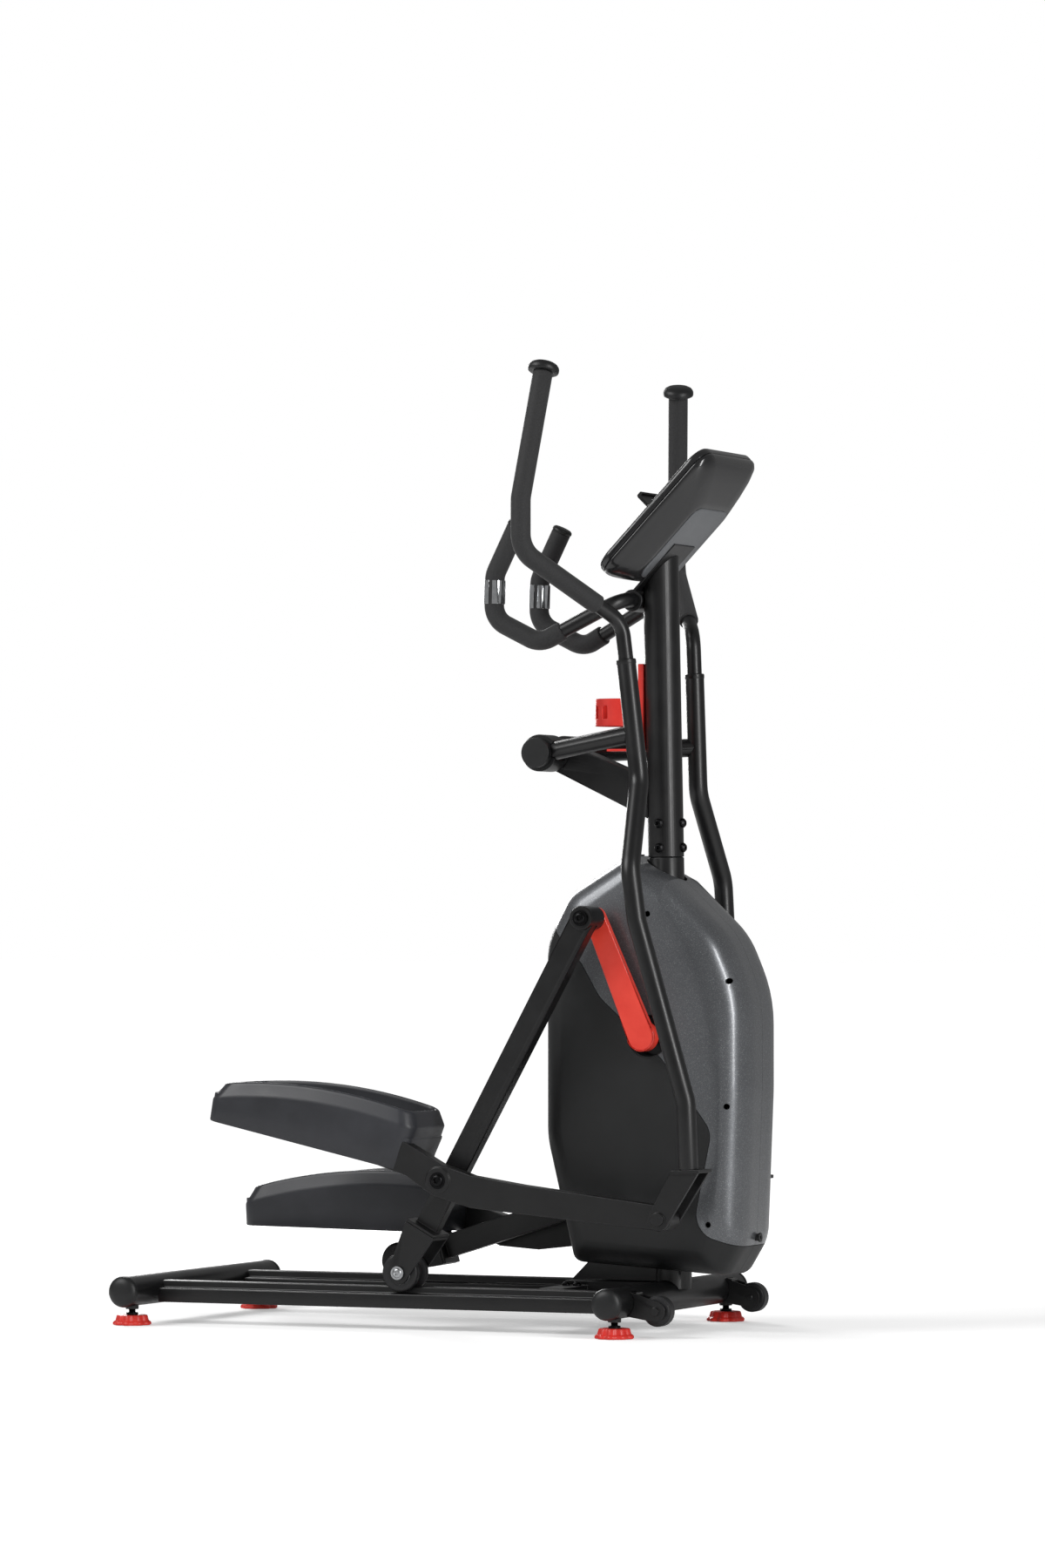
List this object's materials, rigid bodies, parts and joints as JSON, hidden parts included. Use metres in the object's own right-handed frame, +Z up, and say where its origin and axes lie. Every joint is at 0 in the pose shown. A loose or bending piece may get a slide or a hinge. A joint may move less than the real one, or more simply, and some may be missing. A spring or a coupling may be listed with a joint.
{
  "type": "elliptical trainer",
  "caption": "Front-drive elliptical trainer: crank and roller arms on rails, foot trays, swinging handles, fixed grips, mast and sloped console.",
  "frame": {"origin": "middle of the floor area that the machine covers, on the floor", "axes": "+X to the machine's front, +Y to its left side, +Z up"},
  "size_m": [1.0935, 0.6364, 1.6073],
  "materials": {
    "black_steel": "satin black powder coat",
    "black_plastic": "fine-textured black plastic",
    "bright_steel": "zinc-plated steel",
    "chrome_plate": "chrome-plated steel",
    "drive_iron": "machined cast iron",
    "grey_plastic": "metallic dark grey moulded plastic",
    "grip_foam": "closed-cell foam",
    "charcoal_plastic": "gloss charcoal moulded plastic",
    "dark_window": "dark clear window",
    "red_plastic": "red moulded plastic",
    "belt_rubber": "ribbed belt rubber",
    "red_steel": "orange-red gloss paint",
    "roller_rubber": "hard polyurethane",
    "slate_plastic": "semi-gloss slate moulded plastic",
    "key_plastic": "grey key caps"
  },
  "bodies": {
    "frame": {"rear_stabilizer": "black_steel", "front_stabilizer": "black_steel", "stabilizer_caps": "black_plastic", "rails": "black_steel", "main_frame": "black_steel", "mast": "black_steel", "frame_bolts": "bright_steel", "pivot_strut": "black_steel", "pivot_axle": "bright_steel", "shroud_right": "grey_plastic", "shroud_left": "grey_plastic", "lower_covers": "black_plastic", "rear_spine": "black_plastic", "shroud_screws": "bright_steel", "bearings": "bright_steel", "brake_unit": "drive_iron", "fixed_handlebar": "black_steel", "fixed_grips": "grip_foam", "pulse_sensors": "chrome_plate", "console_back": "charcoal_plastic", "console_front": "black_plastic", "console_lens": "dark_window", "console_bracket": "black_steel", "bottle_holder": "red_plastic", "wheel_brackets": "black_steel", "power_inlet": "black_plastic", "drive_belt": "belt_rubber"},
    "crank": {"crankshaft": "bright_steel", "drive_pulley": "black_plastic", "right_crank_arm": "red_steel", "left_crank_arm": "red_steel"},
    "flywheel": {"flywheel": "drive_iron", "flywheel_axle": "bright_steel"},
    "right_handle": {"right_handle_lower": "black_steel", "right_handle_upper": "black_steel", "right_handle_grip": "grip_foam", "right_pivot_cover": "black_plastic"},
    "right_pedal_arm": {"right_pedal_arm": "black_steel", "right_pedal": "slate_plastic"},
    "right_roller_arm": {"right_roller_arm": "black_steel", "right_roller_fork": "black_steel"},
    "right_roller": {"right_roller": "roller_rubber"},
    "right_transport_wheel": {"right_transport_wheel": "roller_rubber"},
    "left_handle": {"left_handle_lower": "black_steel", "left_handle_upper": "black_steel", "left_handle_grip": "grip_foam", "left_pivot_cover": "black_plastic"},
    "left_pedal_arm": {"left_pedal_arm": "black_steel", "left_pedal": "slate_plastic"},
    "left_roller_arm": {"left_roller_arm": "black_steel", "left_roller_fork": "black_steel"},
    "left_roller": {"left_roller": "roller_rubber"},
    "left_transport_wheel": {"left_transport_wheel": "roller_rubber"},
    "rear_right_foot": {"rear_right_foot": "red_plastic"},
    "rear_left_foot": {"rear_left_foot": "red_plastic"},
    "front_right_foot": {"front_right_foot": "red_plastic"},
    "front_left_foot": {"front_left_foot": "red_plastic"},
    "start_key": {"start_key": "key_plastic"},
    "up_key": {"up_key": "key_plastic"},
    "down_key": {"down_key": "key_plastic"}
  },
  "joints": [
    {"name": "crank_spin", "type": "hinge", "parent": "frame", "child": "crank", "pos_m": [0.36615, 0, 0.491], "axis": [0, -1, 0], "continuous": true},
    {"name": "flywheel_spin", "type": "hinge", "parent": "frame", "child": "flywheel", "pos_m": [0.37114, 0, 0.236], "axis": [0, -1, 0], "continuous": true},
    {"name": "right_handle_swing", "type": "hinge", "parent": "frame", "child": "right_handle", "pos_m": [0.16275, 0, 0.963], "axis": [0, -1, 0], "range_deg": [-10, 10]},
    {"name": "right_pedal_arm_pivot", "type": "hinge", "parent": "right_handle", "child": "right_pedal_arm", "pos_m": [0.44315, 0, 0.19562], "axis": [0, -1, 0], "range_deg": [-5, 5]},
    {"name": "right_roller_arm_pivot", "type": "hinge", "parent": "right_pedal_arm", "child": "right_roller_arm", "pos_m": [0.04307, 0, 0.25178], "axis": [0, -1, 0], "range_deg": [-1, 1]},
    {"name": "right_roller_spin", "type": "hinge", "parent": "right_roller_arm", "child": "right_roller", "pos_m": [-0.04331, 0, 0.095], "axis": [0, -1, 0], "range_deg": [-400, 400]},
    {"name": "left_handle_swing", "type": "hinge", "parent": "frame", "child": "left_handle", "pos_m": [0.16275, 0, 0.963], "axis": [0, -1, 0], "range_deg": [-7, 7]},
    {"name": "left_pedal_arm_pivot", "type": "hinge", "parent": "left_handle", "child": "left_pedal_arm", "pos_m": [0.37772, 0, 0.17479], "axis": [0, -1, 0], "range_deg": [-5, 5]},
    {"name": "left_roller_arm_pivot", "type": "hinge", "parent": "left_pedal_arm", "child": "left_roller_arm", "pos_m": [-0.02539, 0, 0.14794], "axis": [0, -1, 0], "range_deg": [-1, 1]},
    {"name": "left_roller_spin", "type": "hinge", "parent": "left_roller_arm", "child": "left_roller", "pos_m": [-0.19638, 0, 0.095], "axis": [0, -1, 0], "range_deg": [-250, 250]},
    {"name": "right_transport_wheel_spin", "type": "hinge", "parent": "frame", "child": "right_transport_wheel", "pos_m": [0.43325, -0.211, 0.044], "axis": [0, -1, 0], "continuous": true},
    {"name": "left_transport_wheel_spin", "type": "hinge", "parent": "frame", "child": "left_transport_wheel", "pos_m": [0.43325, 0.211, 0.044], "axis": [0, -1, 0], "continuous": true},
    {"name": "rear_right_foot_turn", "type": "hinge", "parent": "frame", "child": "rear_right_foot", "pos_m": [-0.51375, -0.246, 0.02], "axis": [0, 0, 1], "continuous": true},
    {"name": "rear_left_foot_turn", "type": "hinge", "parent": "frame", "child": "rear_left_foot", "pos_m": [-0.51375, 0.246, 0.02], "axis": [0, 0, 1], "continuous": true},
    {"name": "front_right_foot_turn", "type": "hinge", "parent": "frame", "child": "front_right_foot", "pos_m": [0.36925, -0.246, 0.02], "axis": [0, 0, 1], "continuous": true},
    {"name": "front_left_foot_turn", "type": "hinge", "parent": "frame", "child": "front_left_foot", "pos_m": [0.36925, 0.246, 0.02], "axis": [0, 0, 1], "continuous": true},
    {"name": "start_key_press", "type": "slide", "parent": "frame", "child": "start_key", "axis": [0.7193, 0, -0.6947], "range_m": [0, 0.001], "stiffness_N_per_m": 300},
    {"name": "up_key_press", "type": "slide", "parent": "frame", "child": "up_key", "axis": [0.7193, 0, -0.6947], "range_m": [0, 0.001], "stiffness_N_per_m": 300},
    {"name": "down_key_press", "type": "slide", "parent": "frame", "child": "down_key", "axis": [0.7193, 0, -0.6947], "range_m": [0, 0.001], "stiffness_N_per_m": 300}
  ],
  "couplings": [
    {"joint": "flywheel_spin", "follows": "crank_spin", "ratio": 7.8125},
    {"joint": "right_pedal_arm_pivot", "follows": "right_handle_swing", "ratio": -0.431},
    {"joint": "right_roller_arm_pivot", "follows": "right_handle_swing", "ratio": 0.0419},
    {"joint": "right_roller_spin", "follows": "right_handle_swing", "ratio": -37.228},
    {"joint": "left_handle_swing", "follows": "right_handle_swing", "ratio": -0.6459},
    {"joint": "left_pedal_arm_pivot", "follows": "right_handle_swing", "ratio": 0.4324},
    {"joint": "left_roller_arm_pivot", "follows": "right_handle_swing", "ratio": -0.0951},
    {"joint": "left_roller_spin", "follows": "right_handle_swing", "ratio": 23.71}
  ]
}
